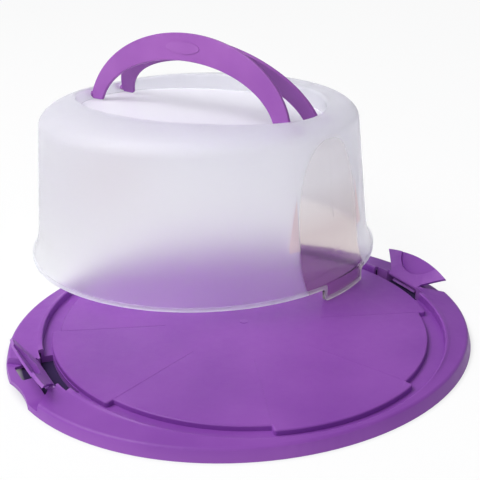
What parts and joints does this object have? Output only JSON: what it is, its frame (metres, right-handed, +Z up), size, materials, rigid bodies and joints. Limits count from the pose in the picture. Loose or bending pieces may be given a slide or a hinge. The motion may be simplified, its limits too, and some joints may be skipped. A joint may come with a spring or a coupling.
{
  "type": "cake carrier",
  "caption": "Round cake carrier: low tray with two side latches and a lift-off domed lid with two folding arched handles.",
  "frame": {"origin": "centre of the tray, on the surface it stands on", "axes": "+Z up; +Y from the front of the tray towards the lid that stands behind it; the latches lie 30 degrees from the X axis"},
  "size_m": [0.3665, 0.4701, 0.2034],
  "materials": {
    "base_plastic": "satin moulded polypropylene",
    "lid_plastic": "frosted translucent polypropylene"
  },
  "bodies": {
    "tray": {"tray": "base_plastic"},
    "lid": {"lid": "lid_plastic"},
    "handle_front": {"handle_front": "base_plastic"},
    "handle_rear": {"handle_rear": "base_plastic"},
    "latch_right": {"latch_right": "base_plastic"},
    "latch_left": {"latch_left": "base_plastic"}
  },
  "joints": [
    {"name": "lid_lift", "type": "slide", "parent": "tray", "child": "lid", "axis": [0, 0, 1], "range_m": [0, 0.25]},
    {"name": "handle_front_fold", "type": "hinge", "parent": "lid", "child": "handle_front", "pos_m": [-0.05448, 0.13998, 0.13913], "axis": [0.7612, -0.6479, 0.0293], "range_deg": [0, 99]},
    {"name": "handle_rear_fold", "type": "hinge", "parent": "lid", "child": "handle_rear", "pos_m": [-0.02985, 0.16892, 0.13918], "axis": [-0.7612, 0.6479, -0.0293], "range_deg": [0, 111]},
    {"name": "latch_right_turn", "type": "hinge", "parent": "tray", "child": "latch_right", "pos_m": [0.137, 0.0791, 0.0076], "axis": [-0.5, 0.866, 0], "range_deg": [-20, 45]},
    {"name": "latch_left_turn", "type": "hinge", "parent": "tray", "child": "latch_left", "pos_m": [-0.137, -0.0791, 0.0076], "axis": [0.5, -0.866, 0], "range_deg": [-20, 47.5]}
  ]
}
